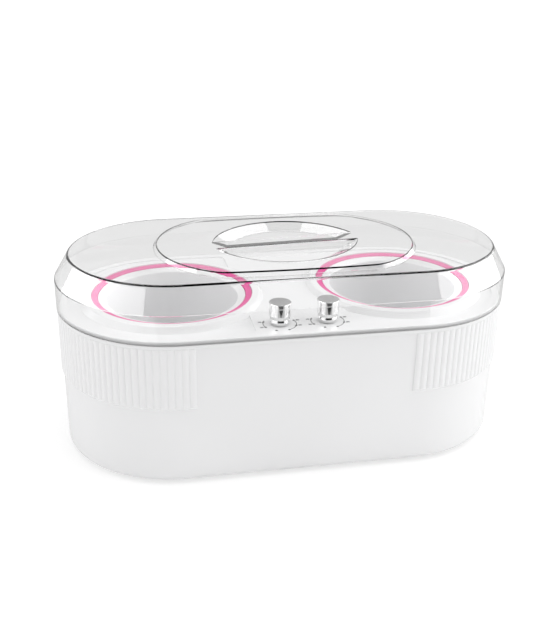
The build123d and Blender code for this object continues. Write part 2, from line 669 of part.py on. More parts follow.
def chamber_screws():
    """Four screws up through each chamber flange into the collar's bosses."""
    seat = CHAMBER_TOP_Z - FLANGE_T
    length = FLANGE_T + SMALL_BITE - SMALL_SPARE
    return [pan_screw(side * (POT_X + x), y, seat, length, SMALL_SCREW_R, SMALL_HEAD_R, SMALL_HEAD_T)
            for side in (-1, 1) for x, y in flange_screw_places()]


def band_heater():
    """Split band heater clamped round the chamber, its ears towards the middle of the housing."""
    band = tube_ring(CHAMBER_R, HEATER_R, HEATER_LOW_Z, HEATER_HIGH_Z)
    ear_x = -(HEATER_R + EAR_REACH / 2 - HEATER_T / 2)
    ear_w = HEATER_SPLIT + 2 * EAR_T
    band += block(EAR_REACH + HEATER_T, ear_w, HEATER_LOW_Z, HEATER_HIGH_Z, ear_x, 0)
    band -= block(4 * EAR_REACH, HEATER_SPLIT, HEATER_LOW_Z, HEATER_HIGH_Z, ear_x, 0)
    band -= post(CHAMBER_R, HEATER_LOW_Z, HEATER_HIGH_Z)
    for z in clamp_heights():
        hole = Pos(clamp_x(), 0, z) * Rot(90, 0, 0) * Cylinder(CLAMP_SCREW_R + PILOT_GAP, 2 * ear_w)
        band -= hole
    return Pos(POT_X, 0, 0) * band


def clamp_heights():
    """Heights of the two clamp screws of a band heater."""
    third = (HEATER_HIGH_Z - HEATER_LOW_Z) / 3
    return [HEATER_LOW_Z + third, HEATER_HIGH_Z - third]


def clamp_x():
    """Place of the clamp screws from the chamber's centre."""
    return -(HEATER_R + CLAMP_OUT)


def clamp_screws():
    """Two screws with nuts that pull each heater's ears together."""
    half = HEATER_SPLIT / 2 + EAR_T
    shank = Rot(90, 0, 0) * Cylinder(CLAMP_SCREW_R, 2 * half + 2 * CLAMP_NUT_T)
    head = Pos(0, -half - CLAMP_HEAD_T / 2, 0) * Rot(90, 0, 0) * Cylinder(CLAMP_HEAD_R, CLAMP_HEAD_T)
    nut = Pos(0, half, 0) * Rot(-90, 0, 0) * extrude(RegularPolygon(CLAMP_HEAD_R, 6), CLAMP_NUT_T)
    screw = shank + head + nut
    return [Pos(side * (POT_X + clamp_x()), 0, z) * screw for side in (-1, 1) for z in clamp_heights()]


def insulation_sleeve():
    """Felt sleeve over the heater, open where the heater's ears stand out."""
    sleeve = tube_ring(HEATER_R, SLEEVE_R, SLEEVE_LOW_Z, SLEEVE_HIGH_Z)
    slot = block(SLEEVE_R, SLEEVE_SLOT, SLEEVE_LOW_Z, SLEEVE_HIGH_Z, -SLEEVE_R, 0)
    return Pos(POT_X, 0, 0) * (sleeve - slot)


def thermal_fuse():
    """Fuse lying against the underside of the chamber, with its two leads."""
    body = Rot(0, 90, 0) * Cylinder(FUSE_R, FUSE_L)
    body = fillet(body.edges(), FUSE_ROUND)
    leads = Rot(0, 90, 0) * Cylinder(FUSE_LEAD_R, FUSE_L + 2 * FUSE_LEAD_L)
    return Pos(POT_X, 0, FUSE_Z) * (body + leads)


def fuse_clip():
    """Strap over the fuse, spot-welded to the chamber's underside by its two feet."""
    outer_r = FUSE_R + CLIP_T
    hump = Rot(0, 90, 0) * Cylinder(outer_r, CLIP_W)
    hump += block(CLIP_W, 2 * outer_r, 0, FUSE_R)
    feet = block(CLIP_W, 2 * (outer_r + CLIP_FOOT), FUSE_R - CLIP_T, FUSE_R)
    strap = hump + feet
    strap -= Rot(0, 90, 0) * Cylinder(FUSE_R, 2 * CLIP_W)
    strap -= block(2 * CLIP_W, 2 * FUSE_R, 0, FUSE_R)
    strap -= block(2 * CLIP_W, 4 * outer_r, FUSE_R, 2 * outer_r)
    return Pos(POT_X, 0, FUSE_Z) * strap


# Knobs and thermostats

def knob():
    """Turned knob with a waist above its rounded foot, a pointer dimple and a bore for the shaft."""
    top = KNOB_Z + KNOB_H
    shape = turned([
        (0, KNOB_Z, 0),
        (KNOB_FOOT_R, KNOB_Z, KNOB_FOOT_ROUND),
        (KNOB_BULB_R, KNOB_Z + KNOB_BULB_H, KNOB_BULB_ROUND),
        (KNOB_WAIST_R, KNOB_Z + KNOB_WAIST_H, KNOB_WAIST_ROUND),
        (KNOB_R, KNOB_Z + KNOB_GRIP_H, KNOB_GRIP_ROUND),
        (KNOB_R, top, KNOB_EDGE_R),
        (0, top, 0),
    ])
    shape -= post(SHAFT_R, KNOB_Z, KNOB_Z + SHAFT_IN_KNOB)
    shape -= Pos(0, POINTER_IN - KNOB_R, top - POINTER_DEPTH + POINTER_BALL_R) * Sphere(POINTER_BALL_R)
    return Pos(KNOB_X, KNOB_Y, 0) * shape


def control_shaft():
    """Shaft from the thermostat up into the knob."""
    return post(SHAFT_R, SHAFT_ROOT_Z, KNOB_Z + SHAFT_IN_KNOB, KNOB_X, KNOB_Y)


def thermostat():
    """Thermostat body with the bush that carries the shaft."""
    body = block(STAT_W, STAT_D, STAT_Z, BRACKET_Z)
    body = fillet(body.edges().filter_by(Axis.Z), STAT_EDGE_R)
    body += post(BUSH_R, BRACKET_Z, BUSH_TOP_Z)
    bore_r = SHAFT_R + SHAFT_RUNNING_GAP
    body -= post(bore_r, SHAFT_ROOT_Z - FACE_GAP, BUSH_TOP_Z)
    return Pos(KNOB_X, KNOB_Y, 0) * body


def thermostat_bracket():
    """Steel plate that carries both thermostats, screwed up against three deck bosses."""
    plate = block(BRACKET_L, BRACKET_W, BRACKET_Z, BRACKET_Z + BRACKET_T, 0, KNOB_Y)
    plate = fillet(plate.edges().filter_by(Axis.Z), BRACKET_CORNER_R)
    bushes = [post(BUSH_R + PILOT_GAP, BRACKET_Z, BRACKET_Z + BRACKET_T, side * KNOB_X, KNOB_Y)
              for side in (-1, 1)]
    hole_r = SMALL_SCREW_R + SCREW_CLEARANCE / 2
    holes = [post(hole_r, BRACKET_Z, BRACKET_Z + BRACKET_T, x, y) for x, y in bracket_screw_places()]
    return cut(plate, bushes + holes)


def bracket_screws():
    """Three screws up through the thermostat bracket."""
    length = BRACKET_T + SMALL_BITE - SMALL_SPARE
    return [pan_screw(x, y, BRACKET_Z, length, SMALL_SCREW_R, SMALL_HEAD_R, SMALL_HEAD_T)
            for x, y in bracket_screw_places()]


def bush_nuts():
    """Hexagon nut on each thermostat bush, holding it to the bracket."""
    nut = extrude(RegularPolygon(BUSH_NUT_R, 6), BUSH_NUT_T)
    nut -= post(BUSH_R, 0, BUSH_NUT_T)
    return [Pos(side * KNOB_X, KNOB_Y, BRACKET_Z + BRACKET_T) * nut for side in (-1, 1)]


def capillary():
    """Sensing bulb in the chamber's pocket and the thin tube from it to the thermostat."""
    stat_y = KNOB_Y + STAT_D / 2
    tube_z = BULB_LOW_Z - CAPILLARY_DROP
    points = [
        (BULB_X, 0, BULB_LOW_Z + CAPILLARY_IN_BULB),
        (BULB_X, 0, tube_z),
        (CAPILLARY_X, 0, tube_z),
        (CAPILLARY_X, stat_y / 2, tube_z),
        (KNOB_X, stat_y * 0.7, tube_z),
        (KNOB_X, stat_y, tube_z),
    ]
    bulb = post(BULB_R, BULB_LOW_Z, BULB_LOW_Z + BULB_L, BULB_X, 0)
    return fillet(bulb.edges(), BULB_ROUND) + rod(CAPILLARY_R, points, CAPILLARY_BEND)


# Mains entry and terminals

def cord_gland():
    """Rubber grommet in the rear wall, bored for a mains cord."""
    outer_y = wall_r(GLAND_Z + GLAND_FLANGE_R) + GLAND_GAP
    inner_y = wall_r(GLAND_Z - GLAND_FLANGE_R) - SHELL_WALL - GLAND_GAP
    reach = outer_y - inner_y + 2 * GLAND_FLANGE_T
    gland = turned([
        (GLAND_BORE_R, 0, 0),
        (GLAND_FLANGE_R, 0, GLAND_ROUND),
        (GLAND_FLANGE_R, GLAND_FLANGE_T, GLAND_ROUND),
        (GLAND_NECK_R, GLAND_FLANGE_T, 0),
        (GLAND_NECK_R, reach - GLAND_FLANGE_T, 0),
        (GLAND_FLANGE_R, reach - GLAND_FLANGE_T, GLAND_ROUND),
        (GLAND_FLANGE_R, reach, GLAND_ROUND),
        (GLAND_BORE_R, reach, 0),
    ])
    return Pos(0, outer_y + GLAND_FLANGE_T, GLAND_Z) * Rot(90, 0, 0) * gland


def terminal_block():
    """Strip of terminals standing on the base plate."""
    strip = block(BLOCK_L, BLOCK_W, PLATE_TOP_Z, PLATE_TOP_Z + BLOCK_H, 0, BLOCK_Y)
    top = PLATE_TOP_Z + BLOCK_H
    for x in pole_places():
        strip += block(BLOCK_TOWER_L, BLOCK_TOWER_W, top, top + BLOCK_TOWER_H, x, BLOCK_Y)
    for x in pole_places():
        strip -= post(BLOCK_SCREW_R + PILOT_GAP, top, top + BLOCK_TOWER_H, x, BLOCK_Y)
        way = Rot(90, 0, 0) * Cylinder(LEAD_R + LEAD_GAP, 2 * BLOCK_W)
        strip -= Pos(x, BLOCK_Y, PLATE_TOP_Z + BLOCK_H / 2) * way
    return strip


def pole_places():
    """X of each terminal."""
    pitch = BLOCK_L / BLOCK_POLES
    return [(k - (BLOCK_POLES - 1) / 2) * pitch for k in range(BLOCK_POLES)]


def terminal_screws():
    """One clamping screw in each terminal tower."""
    top = PLATE_TOP_Z + BLOCK_H
    return [post(BLOCK_SCREW_R, top, top + BLOCK_TOWER_H - BLOCK_SCREW_SINK, x, BLOCK_Y)
            for x in pole_places()]


def lead_wires():
    """Leads from the terminals through thermostat, heater band and fuse, and back, for each pot."""
    pole = pole_places()
    front_y = BLOCK_Y - BLOCK_W / 2 + LEAD_IN_BLOCK
    low_z = PLATE_TOP_Z + BLOCK_H / 2
    heater_mid_r = CHAMBER_R + HEATER_T / 2
    heater_x = POT_X - sqrt(heater_mid_r ** 2 - LEAD_SIDE_Y ** 2)
    stat_x = KNOB_X + STAT_TERMINAL_X
    fuse_in_x = POT_X - FUSE_L
    fuse_out_x = POT_X + FUSE_L
    feed = rod(LEAD_R, [
        (pole[3], front_y, low_z),
        (pole[3], KNOB_Y, low_z),
        (pole[3], KNOB_Y, STAT_Z),
    ], LEAD_FRONT_BEND)
    live = rod(LEAD_R, [
        (stat_x, KNOB_Y, STAT_Z),
        (stat_x, KNOB_Y, LEAD_LOW_Z),
        (stat_x, LEAD_SIDE_Y, LEAD_LOW_Z),
        (heater_x, LEAD_SIDE_Y, LEAD_LOW_Z),
        (heater_x, LEAD_SIDE_Y, HEATER_LOW_Z),
    ], LEAD_BEND)
    link = rod(LEAD_R, [
        (heater_x, -LEAD_SIDE_Y, HEATER_LOW_Z),
        (heater_x, -LEAD_SIDE_Y, FUSE_Z),
        (fuse_in_x - 2 * LEAD_SIDE_Y, 0, FUSE_Z),
        (fuse_in_x, 0, FUSE_Z),
    ], LEAD_BEND)
    back = rod(LEAD_R, [
        (fuse_out_x, 0, FUSE_Z),
        (LEAD_OUTER_X, 0, FUSE_Z),
        (LEAD_OUTER_X, LEAD_OUTER_Y, low_z),
        (pole[4], LEAD_OUTER_Y, low_z),
        (pole[4], front_y, low_z),
    ], LEAD_BEND)
    return [side for lead in (feed, live, link, back) for side in both_ends(lead).values()]


def write(name, shape):
    """One STEP file for one node."""
    if isinstance(shape, list):
        shape = Compound(children=[Solid(piece.solid().wrapped) for piece in shape])
    export_step(shape, f"parts/{name}.step")


def write_pair(name, shape):
    """The node at each end."""
    for side, piece in both_ends(shape).items():
        write(f"{name}_{side}", piece)


os.makedirs("parts", exist_ok=True)
write("body_shell", body_shell())
write("base_plate", base_plate())
write("top_deck", top_deck())
write("clear_lid", clear_lid())
for place_name, (foot_x, foot_y) in foot_places().items():
    write(f"foot_{place_name}", foot(foot_x, foot_y))
write("housing_screws", housing_screws())
write_pair("wax_pot", wax_pot())
write_pair("pot_ring", pot_ring())
write_pair("heating_chamber", heating_chamber())
write("chamber_screws", chamber_screws())
write_pair("band_heater", band_heater())
write("clamp_screws", clamp_screws())
write_pair("insulation_sleeve", insulation_sleeve())
write_pair("thermal_fuse", thermal_fuse())
write_pair("fuse_clip", fuse_clip())
write_pair("knob", knob())
write_pair("control_shaft", control_shaft())
write_pair("thermostat", thermostat())
write("thermostat_bracket", thermostat_bracket())
write("bracket_screws", bracket_screws())
write("bush_nuts", bush_nuts())
write_pair("capillary", capillary())
write("cord_gland", cord_gland())
write("terminal_block", terminal_block())
write("terminal_screws", terminal_screws())
write("lead_wires", lead_wires())
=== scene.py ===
# %% [markdown]
# # A double wax warmer
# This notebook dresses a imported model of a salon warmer: a white oblong housing, two aluminium pots in pink
# rings, two chrome knobs and one clear lid over all of it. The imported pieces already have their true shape
# and place, so most of the work is in their finishes, the light and the small printed marks.

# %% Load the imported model
import json
import math

import bmesh
import bpy
from mathutils import Matrix, Vector


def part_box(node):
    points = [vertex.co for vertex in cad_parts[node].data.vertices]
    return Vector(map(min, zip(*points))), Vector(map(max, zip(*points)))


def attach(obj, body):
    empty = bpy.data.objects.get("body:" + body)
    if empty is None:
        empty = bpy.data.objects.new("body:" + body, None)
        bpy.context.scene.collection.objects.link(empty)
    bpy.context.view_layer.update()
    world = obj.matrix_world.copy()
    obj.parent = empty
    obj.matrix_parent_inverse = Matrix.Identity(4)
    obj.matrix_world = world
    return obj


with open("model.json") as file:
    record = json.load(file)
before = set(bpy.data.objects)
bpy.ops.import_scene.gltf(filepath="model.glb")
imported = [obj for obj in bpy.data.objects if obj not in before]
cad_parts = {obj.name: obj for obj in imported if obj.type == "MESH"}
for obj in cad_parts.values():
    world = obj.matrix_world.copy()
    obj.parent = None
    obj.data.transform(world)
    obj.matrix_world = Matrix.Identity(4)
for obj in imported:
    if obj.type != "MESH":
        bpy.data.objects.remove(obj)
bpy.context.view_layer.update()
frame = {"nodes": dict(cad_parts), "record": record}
nodes = frame["nodes"]
MM = 0.001
print("packed pieces:", len(nodes))


# %% [markdown]
# ## Helpers for materials
# Every finish starts as one Principled shader. Small helpers add the texture nodes, so that each material
# cell only says what is special about that finish. Patterns read Object coordinates, which are metres here,
# so a pattern's scale is one over its size in metres.

# %% A finish and its nodes
def new_finish(name, color, roughness, metallic=0.0):
    """A material with one Principled shader, and that shader."""
    finish = bpy.data.materials.new(name)
    finish.use_nodes = True
    shader = finish.node_tree.nodes["Principled BSDF"]
    shader.inputs["Base Color"].default_value = (*color, 1.0)
    shader.inputs["Roughness"].default_value = roughness
    shader.inputs["Metallic"].default_value = metallic
    return finish, shader


def add_node(owner, kind, **values):
    """A node of that kind in a material or world, with some of its inputs or settings given."""
    node = owner.node_tree.nodes.new(kind)
    for key, value in values.items():
        if key in node.inputs:
            node.inputs[key].default_value = value
        else:
            setattr(node, key, value)
    return node


def join(owner, out_socket, in_socket):
    """One link between two sockets."""
    owner.node_tree.links.new(out_socket, in_socket)


print("helpers: new_finish, add_node, join")


# %% [markdown]
# A shader network is easier to read as sums than as boxes. So each kind of sum, a Math node, a Map Range
# node and the parts of a place, gets a helper that takes sockets and gives a socket back.

# %% Sums with nodes
NOISE_SPAN = (0.3, 0.7)     # most of a noise lies between these


def arithmetic(owner, operation, first, second=0.0):
    """A Math node of two inputs, each a socket or a number."""
    node = add_node(owner, "ShaderNodeMath", operation=operation)
    for slot, value in enumerate((first, second)):
        if isinstance(value, (int, float)):
            node.inputs[slot].default_value = value
        else:
            join(owner, value, node.inputs[slot])
    return node.outputs["Value"]


def ramp(owner, socket, low, high, start=NOISE_SPAN[0], end=NOISE_SPAN[1]):
    """A value that goes from low to high while the socket's goes from start to end."""
    node = add_node(owner, "ShaderNodeMapRange")
    node.inputs["From Min"].default_value = start
    node.inputs["From Max"].default_value = end
    node.inputs["To Min"].default_value = low
    node.inputs["To Max"].default_value = high
    join(owner, socket, node.inputs["Value"])
    return node.outputs["Result"]


def object_place(finish, middle=(0.0, 0.0, 0.0)):
    """Object coordinates, measured from a middle."""
    place = add_node(finish, "ShaderNodeTexCoord")
    shift = add_node(finish, "ShaderNodeMapping")
    shift.inputs["Location"].default_value = [-m for m in middle]
    join(finish, place.outputs["Object"], shift.inputs["Vector"])
    return shift.outputs["Vector"]


def split_place(finish, middle=(0.0, 0.0, 0.0)):
    """The X, Y and Z of Object coordinates, as the outputs of one node."""
    apart = add_node(finish, "ShaderNodeSeparateXYZ")
    join(finish, object_place(finish, middle), apart.inputs["Vector"])
    return apart.outputs


print("a noise is taken to span", NOISE_SPAN)


# %% [markdown]
# A real surface is never one even gloss. One noise that drives the roughness shows how it was moulded or
# drawn, and a bump of a few thousandths of a millimetre makes long reflections waver as they do on the real
# one.

# %% Grain, gloss and relief
def grain(finish, size, detail=3.0):
    """Noise on Object coordinates whose spots are about size metres across."""
    noise = add_node(finish, "ShaderNodeTexNoise", Scale=1.0 / size, Detail=detail)
    join(finish, object_place(finish), noise.inputs["Vector"])
    return noise.outputs["Fac"]


def rough_by(finish, shader, socket, low, high):
    """Roughness that follows a pattern."""
    join(finish, ramp(finish, socket, low, high), shader.inputs["Roughness"])


def bump_by(finish, shader, socket, depth):
    """A fine relief of about depth metres."""
    bump = add_node(finish, "ShaderNodeBump", Distance=depth)
    join(finish, socket, bump.inputs["Height"])
    join(finish, bump.outputs["Normal"], shader.inputs["Normal"])


finishes = {}
print("helpers: grain, rough_by, bump_by")


# %% [markdown]
# ## Plastic and rubber
# The housing and its deck are injection moulded in white ABS with a gloss that isn't quite a mirror: the
# skin of such a moulding is a little wavy, and its gloss changes over a few centimetres. Both come from
# noise on Object coordinates, one coarse for the gloss and one fine for the relief, which suits a surface
# with no grain. The pink rings, the satin plastics, the rubber, the felt and the wires differ only in
# colour and gloss, so they share the recipe.

# %% Plastic and rubber
GLOSS_SPOT = 30 * MM        # over which the gloss changes
SKIN_WAVE = 4 * MM          # from one wave of the skin to the next
SKIN_DEPTH = 0.004 * MM


def moulded(name, color, low, high):
    """A moulded piece's finish: a gloss that varies from low to high, over a very slight waviness."""
    finish, shader = new_finish(name, color, low)
    rough_by(finish, shader, grain(finish, GLOSS_SPOT), low, high)
    bump_by(finish, shader, grain(finish, SKIN_WAVE, detail=2.0), SKIN_DEPTH)
    finishes[name] = finish


moulded("white_gloss", (0.86, 0.86, 0.865), 0.2, 0.26)
moulded("white_satin", (0.7, 0.7, 0.7), 0.45, 0.6)
moulded("pink", (0.75, 0.055, 0.3), 0.29, 0.36)
moulded("black_plastic", (0.012, 0.012, 0.013), 0.4, 0.55)
moulded("rubber", (0.012, 0.012, 0.012), 0.7, 0.85)
moulded("felt", (0.6, 0.57, 0.5), 0.9, 1.0)
moulded("wire", (0.7, 0.7, 0.7), 0.5, 0.6)
print("moulded finishes:", ", ".join(finishes))


# %% [markdown]
# ## Metals
# The metals inside the housing are rolled, drawn or plated. They share one recipe, a noise about 2 mm
# across that stands for the marks of their making and drives both the roughness and the relief.

# %% Metals
MARK_SIZE = 2 * MM
MARK_DEPTH = 0.002 * MM


def metal(name, color, low, high):
    """Metal whose gloss varies with the marks of its making."""
    finish, shader = new_finish(name, color, low, metallic=1.0)
    marks = grain(finish, MARK_SIZE)
    rough_by(finish, shader, marks, low, high)
    bump_by(finish, shader, marks, MARK_DEPTH)
    finishes[name] = finish


metal("aluminium", (0.66, 0.66, 0.67), 0.35, 0.5)
metal("steel", (0.5, 0.5, 0.51), 0.3, 0.4)
metal("heater_steel", (0.42, 0.42, 0.43), 0.35, 0.5)
metal("fuse_metal", (0.6, 0.6, 0.62), 0.3, 0.4)
metal("brass", (0.65, 0.45, 0.16), 0.3, 0.4)
metal("copper", (0.6, 0.28, 0.16), 0.3, 0.4)
print("finishes so far:", len(finishes))


# %% [markdown]
# The pots are spun and then brushed round and round, so their marks are rings about the pot's own axis. A
# stretched noise would run straight across them. This pattern reads the distance from the axis and the
# height, and nothing of the angle, so it closes on itself. It needs the axis, so each pot has a finish of
# its own. The pots are pale and a little cloudy, which a low Metallic shows better than a mirror's full 1.

# %% Spun pots
POT_METALLIC = 0.35
POT_ROUGHNESS = (0.38, 0.48)
LINES_PER_METRE = 1800.0
LINE_DEPTH = 0.006 * MM


def spun_aluminium(name, middle):
    """Aluminium brushed in rings about an upright axis through middle."""
    finish, shader = new_finish(name, (0.93, 0.93, 0.935), POT_ROUGHNESS[0], POT_METALLIC)
    place = split_place(finish, middle)
    flat = add_node(finish, "ShaderNodeCombineXYZ")
    join(finish, place["X"], flat.inputs["X"])
    join(finish, place["Y"], flat.inputs["Y"])
    reach = add_node(finish, "ShaderNodeVectorMath", operation="LENGTH")
    join(finish, flat.outputs["Vector"], reach.inputs[0])
    ring = add_node(finish, "ShaderNodeCombineXYZ")
    join(finish, reach.outputs["Value"], ring.inputs["X"])
    join(finish, place["Z"], ring.inputs["Z"])
    lines = add_node(finish, "ShaderNodeTexNoise", Scale=LINES_PER_METRE, Detail=2.0)
    join(finish, ring.outputs["Vector"], lines.inputs["Vector"])
    rough_by(finish, shader, lines.outputs["Fac"], *POT_ROUGHNESS)
    bump_by(finish, shader, lines.outputs["Fac"], LINE_DEPTH)
    return finish


def middle_of(node_name):
    """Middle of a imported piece's box."""
    low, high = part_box(node_name)
    return (low + high) / 2


POTS = ("wax_pot_left", "wax_pot_right")
pot_finishes = {name: spun_aluminium(name + "_aluminium", middle_of(name)) for name in POTS}
print("pot axes at x =", [round(middle_of(name).x, 4) for name in POTS])


# %% [markdown]
# The knobs are turned and then chromed. Their sides are a mirror, while the flat top keeps the fine marks
# of the lathe, which make it satin, and its tone is painted darker, a painted shade for the darker reflection
# that the top shows. Two materials would need the knob's mesh to be split.
# One finish whose tone and gloss change with the height, just under the top face, needs nothing of the
# kind.

# %% Chrome
# The top's tone is painted shade: the darker reflection of the flat top, painted into its colour.
SIDE_TONE, TOP_PAINTED_SHADE_TONE = 0.9, 0.5
SIDE_ROUGHNESS, TOP_ROUGHNESS = 0.04, 0.35
TOP_EDGE = 0.4 * MM         # below the top, where the lathe's marks and the painted shade begin


def chrome():
    """Mirror chrome, satin on the flat top of the knobs, where its tone is darkened by painted shade."""
    finish, shader = new_finish("chrome", (SIDE_TONE, SIDE_TONE, SIDE_TONE), SIDE_ROUGHNESS, metallic=1.0)
    height = split_place(finish)["Z"]
    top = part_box("knob_left")[1].z
    edge = top - TOP_EDGE
    join(finish, ramp(finish, height, SIDE_ROUGHNESS, TOP_ROUGHNESS, edge, top), shader.inputs["Roughness"])
    # The top's darker base colour is painted shade.
    join(finish, ramp(finish, height, SIDE_TONE, TOP_PAINTED_SHADE_TONE, edge, top), shader.inputs["Base Color"])
    finishes["chrome"] = finish
    print("knob tops at z =", round(top, 4))


chrome()


# %% [markdown]
# ## Clear lid
# The lid is polished clear acrylic, 1.8 mm thick, modelled as a real wall with two faces, so a Principled
# shader with full transmission bends the view at its edges as the real one does. Real glass in a path
# tracer also shades what lies below it, because a lamp can't be found through a bending face. Mixing in a
# Transparent shader, for shadow rays and for rays that leave a matt surface, lets the lamps reach the deck.
# The foot of the wall is the exception: it traps the light that comes down inside the wall, so it keeps a
# thin dark line over the seam.

# %% Clear lid
ACRYLIC_IOR = 1.49
FACE_PASS = 0.96            # light that one face of the wall lets through
FOOT_PASS = 0.2             # the same in the foot that keeps its shadow
FOOT_H = 0.9 * MM


def clear_plastic():
    """Polished clear plastic that lets matt surfaces below it see the light unbent."""
    finish, shader = new_finish("clear_plastic", (1.0, 1.0, 1.0), 0.0)
    shader.inputs["Transmission Weight"].default_value = 1.0
    shader.inputs["IOR"].default_value = ACRYLIC_IOR
    path = add_node(finish, "ShaderNodeLightPath")
    open_way = add_node(finish, "ShaderNodeBsdfTransparent")
    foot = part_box("clear_lid")[0].z
    passed = ramp(finish, split_place(finish)["Z"], FOOT_PASS, FACE_PASS, foot + FOOT_H / 2, foot + FOOT_H)
    join(finish, passed, open_way.inputs["Color"])
    surface = shader.outputs["BSDF"]
    for ray in ("Is Diffuse Ray", "Is Shadow Ray"):
        choose = add_node(finish, "ShaderNodeMixShader")
        join(finish, path.outputs[ray], choose.inputs["Fac"])
        join(finish, surface, choose.inputs[1])
        join(finish, open_way.outputs["BSDF"], choose.inputs[2])
        surface = choose.outputs["Shader"]
    join(finish, surface, finish.node_tree.nodes["Material Output"].inputs["Surface"])
    finishes["clear_plastic"] = finish
    print("lid foot at z =", round(foot, 4))


clear_plastic()


# %% [markdown]
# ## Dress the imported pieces
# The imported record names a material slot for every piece, and the finishes above have the same names. So
# one loop dresses them all, and only the pots, whose pattern depends on their own axis, are looked up by
# piece.

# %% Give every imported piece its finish
slot_of = {part["node"]: part["material_slot"] for part in frame["record"]["subparts"]}
for name, piece in nodes.items():
    piece.data.materials.clear()
    piece.data.materials.append(pot_finishes.get(name) or finishes[slot_of[name]])
print("dressed pieces:", len(nodes), "in", len(set(slot_of.values())), "slots")


# %% [markdown]
# ## Dials
# Round each knob the deck carries a printed scale: six dots, thin arcs that join some of them, and small
# plain numbers. A print could be painted by the deck's material, but as thin flat pieces it stays sharp at
# any distance and can be seen in the mesh. Each mark is a flat bmesh shape laid just above the deck, whose
# height comes from the foot of the knob.

# %% Ink and the deck under it
moulded("ink", (0.02, 0.02, 0.022), 0.4, 0.5)
INK = finishes["ink"]
PRINT_T = 0.04 * MM
KNOB_LIFT = 0.4 * MM        # from the deck to the knob's foot
SIDES = ("left", "right")
knob_middles = {side: middle_of("knob_" + side) for side in SIDES}
DECK_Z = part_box("knob_left")[0].z - KNOB_LIFT
print("the deck lies at z =", round(DECK_Z, 5))


# %% [markdown]
# A new piece is a mesh with a finish and a body to ride on. The print rides on the
# housing, so it stays where it is when a knob turns.

# %% A named piece
def to_mesh(name, shape):
    """A bmesh kept as mesh data."""
    mesh = bpy.data.meshes.new(name)
    shape.to_mesh(mesh)
    shape.free()
    return mesh


def add_print(name, mesh):
    """A mesh as a named piece of printed ink on the housing."""
    piece = bpy.data.objects.new(name, mesh)
    bpy.context.scene.collection.objects.link(piece)
    mesh.materials.append(INK)
    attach(piece, "housing")
    print("printed:", name)


# %% [markdown]
# The dots and arcs all lie on one circle about the knob. A dot is a very flat cone with two equal radii,
# which is a disc. An arc starts as one small upright face across the circle, and a spin about the knob's
# axis draws it out, so its width and its ends stay true.

# %% Dots and arcs
DOT_RING = 12.8 * MM        # radius of the circle of dots
DOT_R = 0.95 * MM
DOT_SIDES = 20
DOT_ANGLES = (202.5, 157.5, 247.5, 292.5, 337.5, 22.5)
ARC_W = 0.5 * MM
ARC_STEP = 3.0              # degrees of each face of an arc
ARCS = ((146.0, 203.0), (292.5, 378.0))


def on_ring(middle, radius, degrees, height):
    """A point on a circle about a middle."""
    turn = math.radians(degrees)
    return Vector((middle.x + radius * math.cos(turn), middle.y + radius * math.sin(turn), height))


def add_dot(shape, middle, degrees):
    """A printed dot as a very flat disc."""
    place = Matrix.Translation(on_ring(middle, DOT_RING, degrees, DECK_Z + PRINT_T / 2))
    bmesh.ops.create_cone(
        shape, cap_ends=True, segments=DOT_SIDES, radius1=DOT_R, radius2=DOT_R, depth=PRINT_T, matrix=place
    )


def add_arc(shape, middle, start, end):
    """A thin printed arc: one small upright face, spun about the knob's axis."""
    low = on_ring(middle, DOT_RING - ARC_W / 2, start, DECK_Z)
    high = on_ring(middle, DOT_RING + ARC_W / 2, start, DECK_Z)
    lift = Vector((0, 0, PRINT_T))
    corners = [shape.verts.new(p) for p in (low, high, high + lift, low + lift)]
    face = shape.faces.new(corners)
    bmesh.ops.spin(
        shape, geom=[face] + list(face.edges) + corners, cent=middle, axis=(0, 0, 1), dvec=(0, 0, 0),
        angle=math.radians(end - start), steps=int((end - start) / ARC_STEP), use_merge=False,
        use_duplicate=False,
    )
    bmesh.ops.recalc_face_normals(shape, faces=shape.faces)


def print_marks(side):
    """Dots and arcs of one knob, as one piece."""
    shape = bmesh.new()
    for start, end in ARCS:
        add_arc(shape, knob_middles[side], start, end)
    for degrees in DOT_ANGLES:
        add_dot(shape, knob_middles[side], degrees)
    add_print("dial_marks_" + side, to_mesh("dial_marks_" + side, shape))


# %% [markdown]
# The numbers are plain text. Blender's text object is a curve, so each is made a mesh first, and then its
# place goes into the mesh. A small offset swells the strokes, because the thin built-in letters would be
# lost at this size.

# %% Numbers
NUMBER_SIZE = 2.7 * MM
NUMBER_BOLD = 0.1 * MM
NUMBER_ASIDE = 3.0 * MM     # from a dot to the middle of its number
NUMBER_AT = {"10": 157.5, "20": 202.5, "50": 337.5, "60": 22.5}


def print_number(side, text, degrees):
    """A plain number beside its dot, upright as read from the front."""
    words = bpy.data.curves.new("number", "FONT")
    words.body = text
    words.size = NUMBER_SIZE
    words.align_x = "CENTER"
    words.align_y = "CENTER"
    words.extrude = PRINT_T / 2
    words.offset = NUMBER_BOLD
    writer = bpy.data.objects.new("number", words)
    bpy.context.scene.collection.objects.link(writer)
    bpy.context.view_layer.update()
    mesh = bpy.data.meshes.new_from_object(writer.evaluated_get(bpy.context.evaluated_depsgraph_get()))
    bpy.data.objects.remove(writer)
    middle = knob_middles[side]
    place = on_ring(middle, DOT_RING, degrees, DECK_Z + PRINT_T / 2)
    place.x += math.copysign(NUMBER_ASIDE, place.x - middle.x)
    mesh.transform(Matrix.Translation(place))
    add_print(f"dial_number_{text}_{side}", mesh)


for side in SIDES:
    print_marks(side)
    for text, degrees in NUMBER_AT.items():
        print_number(side, text, degrees)


# %% [markdown]
# ## Stage
# The picture is high key: a white ground, a white panel at each side of the object, a pale sweep that rises
# behind it and before it, and a dark studio overhead. White plastic needs little light, so the ground's
# white comes from its own colour for the rays that see it, while the panels draw the long reflections in
# the lid and the knobs. The ground itself is one flat grid, and its edge is far outside the view.

